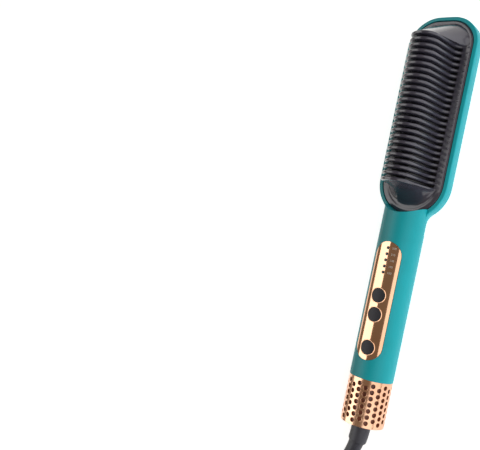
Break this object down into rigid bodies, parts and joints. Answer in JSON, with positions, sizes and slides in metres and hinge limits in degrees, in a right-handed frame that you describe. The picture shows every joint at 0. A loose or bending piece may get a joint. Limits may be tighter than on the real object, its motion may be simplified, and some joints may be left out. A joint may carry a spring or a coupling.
{
  "type": "hair straightening brush",
  "caption": "Handheld heated hair brush: round handle, flat head with a comb of arched fins, raised buttons, perforated collar and a swivel cord.",
  "frame": {"origin": "under the middle of the brush, on the surface that its back lies on", "axes": "+X along the handle towards the comb's tip, +Z out of the comb, +Y to the user's left"},
  "size_m": [0.5045, 0.0543, 0.0452],
  "materials": {
    "shell": "satin teal",
    "comb": "satin black",
    "plate": "dark ceramic coating",
    "ceramic": "white ceramic",
    "sheet": "amber film",
    "steel": "zinc plated",
    "carrier": "heat-proof moulding",
    "fuse": "tinned",
    "bead": "glass bead",
    "lead": "insulated wire",
    "trim": "plated rose gold",
    "button": "satin black",
    "plunger": "moulded",
    "component": "moulded",
    "board": "solder mask",
    "lamp": "clear moulding",
    "capacitor": "dipped",
    "terminal": "moulded",
    "collar": "rose gold anodised",
    "core": "moulded",
    "contact": "turned",
    "boot": "matt",
    "cord": "matt",
    "tie": "woven",
    "plug": "matt",
    "pin": "nickel plated"
  },
  "bodies": {
    "brush": {"back_shell": "shell", "front_shell": "shell", "comb_cover": "comb", "heating_plate": "plate", "heater_strip": "ceramic", "insulation_sheet": "sheet", "heater_clamp": "steel", "plate_carrier": "carrier", "plate_screws": "steel", "thermal_fuse": "fuse", "thermistor": "bead", "heater_leads": "lead", "control_panel": "trim", "tact_switches": "component", "main_board": "board", "board_screws": "steel", "indicator_leds": "lamp", "light_pipe": "lamp", "filter_capacitor": "capacitor", "triac": "component", "terminal_block": "terminal", "tail_collar": "collar", "collar_core": "core", "swivel_housing": "core", "contact_wipers": "contact", "swivel_cap": "core", "mains_leads": "lead"},
    "plus_key": {"plus_button": "button", "plus_plunger": "plunger"},
    "minus_key": {"minus_button": "button", "minus_plunger": "plunger"},
    "power_key": {"power_button": "button", "power_plunger": "plunger"},
    "cord_swivel": {"swivel_sleeve": "core", "slip_rings": "contact", "strain_relief": "boot", "power_cord": "cord", "cord_hank": "cord", "cord_tie": "tie", "plug_lead": "cord", "plug_body": "plug", "plug_pins": "pin"}
  },
  "joints": [
    {"name": "plus_press", "type": "slide", "parent": "brush", "child": "plus_key", "axis": [0, 0, -1], "range_m": [0, 0.0006], "stiffness_N_per_m": 400},
    {"name": "minus_press", "type": "slide", "parent": "brush", "child": "minus_key", "axis": [0, 0, -1], "range_m": [0, 0.0006], "stiffness_N_per_m": 400},
    {"name": "power_press", "type": "slide", "parent": "brush", "child": "power_key", "axis": [0, 0, -1], "range_m": [0, 0.0006], "stiffness_N_per_m": 400},
    {"name": "cord_turn", "type": "hinge", "parent": "brush", "child": "cord_swivel", "pos_m": [-0.13, 0, 0.0144], "axis": [1, 0, 0], "continuous": true}
  ]
}
